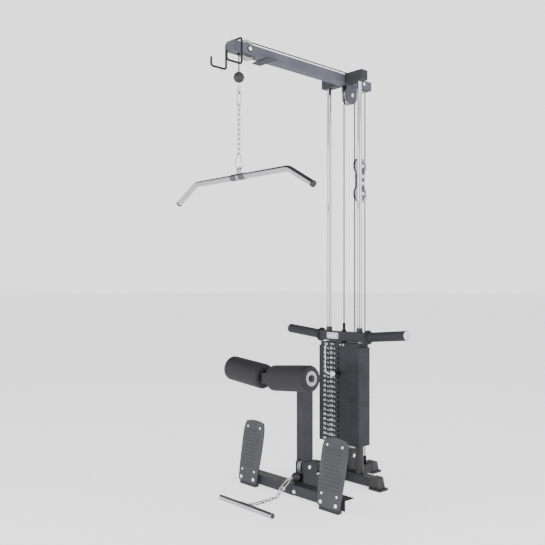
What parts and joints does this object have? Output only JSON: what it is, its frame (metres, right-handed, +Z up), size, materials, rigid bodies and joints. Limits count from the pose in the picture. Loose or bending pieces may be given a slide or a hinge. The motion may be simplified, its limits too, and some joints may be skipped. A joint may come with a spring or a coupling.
{
  "type": "lat pulldown machine",
  "caption": "Cable lat pulldown with pinned weight stack, plate horns, overhead boom, knee rollers, foot plates and low row line.",
  "frame": {"origin": "on the floor, under the middle of the machine's bounding box", "axes": "+X across the machine, +Y from the user to the weight stack, +Z up"},
  "size_m": [0.9658, 1.136, 2.1835],
  "materials": {
    "frame_paint": "satin powder coat",
    "boom_paint": "satin powder coat",
    "weight_paint": "satin black enamel",
    "tread_paint": "matte textured",
    "black_steel": "black oxide",
    "black_rubber": "matte",
    "black_foam": "matte foam skin",
    "black_cable": "nylon-coated cable",
    "white_cord": "soft white cord",
    "chrome": "polished",
    "bright_steel": "bright zinc",
    "zinc_steel": "zinc plated",
    "pulley_alloy": "machined"
  },
  "bodies": {
    "frame": {"base_spine": "frame_paint", "rear_crossbar": "frame_paint", "rear_foot_left": "black_rubber", "rear_foot_right": "black_rubber", "spine_foot": "black_rubber", "front_beam": "frame_paint", "front_beam_bolts": "zinc_steel", "foot_plate_left": "tread_paint", "foot_plate_right": "tread_paint", "foot_bracket_left": "frame_paint", "foot_bracket_right": "frame_paint", "foot_plate_bolts": "zinc_steel", "knee_post": "frame_paint", "post_gussets": "frame_paint", "knee_arm": "frame_paint", "guide_rod_left": "chrome", "guide_rod_right": "chrome", "stack_bumpers": "black_rubber", "top_crossbar": "frame_paint", "boom": "boom_paint", "boom_end_caps": "boom_paint", "bar_hook": "black_steel", "boom_cross_plate": "frame_paint", "hanger_bracket": "boom_paint", "low_pulley_bracket": "frame_paint", "cable_anchor": "black_steel", "resting_plates": "weight_paint", "pulley_axle_bolts": "zinc_steel", "lat_cable_front": "black_cable", "lat_cable_loop": "black_cable", "lat_cable_stack": "black_cable", "row_cable_loop": "black_cable", "row_cable_front": "black_cable"},
    "stack": {"carriage_beam": "frame_paint", "stack_head": "weight_paint", "pinned_plates": "weight_paint", "plate_horns": "weight_paint", "carriage_bushings": "black_rubber", "carriage_eyebolt": "black_steel", "pin_lanyard": "white_cord"},
    "selector": {"selector_pin": "black_steel"},
    "lat_line": {"lat_stop_ball": "black_rubber", "lat_chain": "bright_steel"},
    "lat_bar": {"lat_bar": "chrome"},
    "row_line": {"row_stop_ball": "black_rubber", "row_chain": "bright_steel"},
    "row_handle": {"row_handle": "chrome"},
    "float_block": {"float_plates": "boom_paint", "float_bolts": "zinc_steel"},
    "front_pulley": {"front_pulley": "pulley_alloy"},
    "tail_pulley": {"tail_pulley": "pulley_alloy"},
    "hanging_pulley": {"hanging_pulley": "pulley_alloy"},
    "low_rear_pulley": {"low_rear_pulley": "pulley_alloy"},
    "low_front_pulley": {"low_front_pulley": "pulley_alloy"},
    "float_upper_pulley": {"float_upper_pulley": "pulley_alloy"},
    "float_lower_pulley": {"float_lower_pulley": "pulley_alloy"},
    "roller_left": {"roller_foam_left": "black_foam", "roller_core_left": "chrome"},
    "roller_right": {"roller_foam_right": "black_foam", "roller_core_right": "chrome"}
  },
  "joints": [
    {"name": "stack_lift", "type": "slide", "parent": "frame", "child": "stack", "axis": [0, 0, 1], "range_m": [0, 1], "deforming": ["lat_cable_stack"]},
    {"name": "lat_pull", "type": "slide", "parent": "frame", "child": "lat_line", "axis": [0, 0, -1], "range_m": [0, 1], "deforming": ["lat_cable_front"]},
    {"name": "bar_swivel", "type": "hinge", "parent": "lat_line", "child": "lat_bar", "pos_m": [0, -0.4455, 1.5775], "axis": [0, 0, 1], "range_deg": [-15, 15]},
    {"name": "selector_draw", "type": "slide", "parent": "stack", "child": "selector", "axis": [0, -1, 0], "range_m": [0, 0.075], "deforming": ["pin_lanyard"]},
    {"name": "row_pull", "type": "slide", "parent": "frame", "child": "row_line", "axis": [0, -1, 0], "range_m": [0, 1], "deforming": ["row_cable_front"]},
    {"name": "handle_swivel", "type": "hinge", "parent": "row_line", "child": "row_handle", "pos_m": [0, -0.3718, 0.0115], "axis": [0, 0, 1], "range_deg": [-8, 8]},
    {"name": "float_drop", "type": "slide", "parent": "frame", "child": "float_block", "axis": [0, 0, -1], "range_m": [0, 0.5], "deforming": ["lat_cable_loop", "row_cable_loop"]},
    {"name": "front_pulley_turn", "type": "hinge", "parent": "frame", "child": "front_pulley", "pos_m": [0, -0.402, 2.136], "axis": [1, 0, 0], "continuous": true},
    {"name": "tail_pulley_turn", "type": "hinge", "parent": "frame", "child": "tail_pulley", "pos_m": [0, 0.4185, 2.136], "axis": [1, 0, 0], "continuous": true},
    {"name": "hanging_pulley_turn", "type": "hinge", "parent": "frame", "child": "hanging_pulley", "pos_m": [0, 0.3315, 2.061], "axis": [1, 0, 0], "continuous": true},
    {"name": "low_rear_pulley_turn", "type": "hinge", "parent": "frame", "child": "low_rear_pulley", "pos_m": [0, 0.3315, 0.1305], "axis": [1, 0, 0], "continuous": true},
    {"name": "low_front_pulley_turn", "type": "hinge", "parent": "frame", "child": "low_front_pulley", "pos_m": [0, -0.01, 0.1305], "axis": [1, 0, 0], "continuous": true},
    {"name": "float_upper_pulley_turn", "type": "hinge", "parent": "float_block", "child": "float_upper_pulley", "pos_m": [0, 0.4185, 1.691], "axis": [1, 0, 0], "continuous": true},
    {"name": "float_lower_pulley_turn", "type": "hinge", "parent": "float_block", "child": "float_lower_pulley", "pos_m": [0, 0.4185, 1.54], "axis": [1, 0, 0], "continuous": true},
    {"name": "roller_left_turn", "type": "hinge", "parent": "frame", "child": "roller_left", "pos_m": [-0.15391, -0.254, 0.61147], "axis": [-0.9962, 0, 0.0872], "continuous": true},
    {"name": "roller_right_turn", "type": "hinge", "parent": "frame", "child": "roller_right", "pos_m": [0.15391, -0.254, 0.61147], "axis": [0.9962, 0, 0.0872], "continuous": true}
  ],
  "couplings": [
    {"joint": "lat_pull", "follows": "stack_lift", "ratio": 1},
    {"joint": "front_pulley_turn", "follows": "stack_lift", "rad_per_m": 22.988},
    {"joint": "tail_pulley_turn", "follows": "stack_lift", "rad_per_m": 22.988},
    {"joint": "hanging_pulley_turn", "follows": "stack_lift", "rad_per_m": -22.988},
    {"joint": "float_upper_pulley_turn", "follows": "stack_lift", "rad_per_m": 22.988},
    {"joint": "float_drop", "follows": "row_pull", "ratio": 0.5},
    {"joint": "low_front_pulley_turn", "follows": "row_pull", "rad_per_m": -22.988},
    {"joint": "low_rear_pulley_turn", "follows": "row_pull", "rad_per_m": -22.988},
    {"joint": "float_lower_pulley_turn", "follows": "row_pull", "rad_per_m": 11.494}
  ]
}
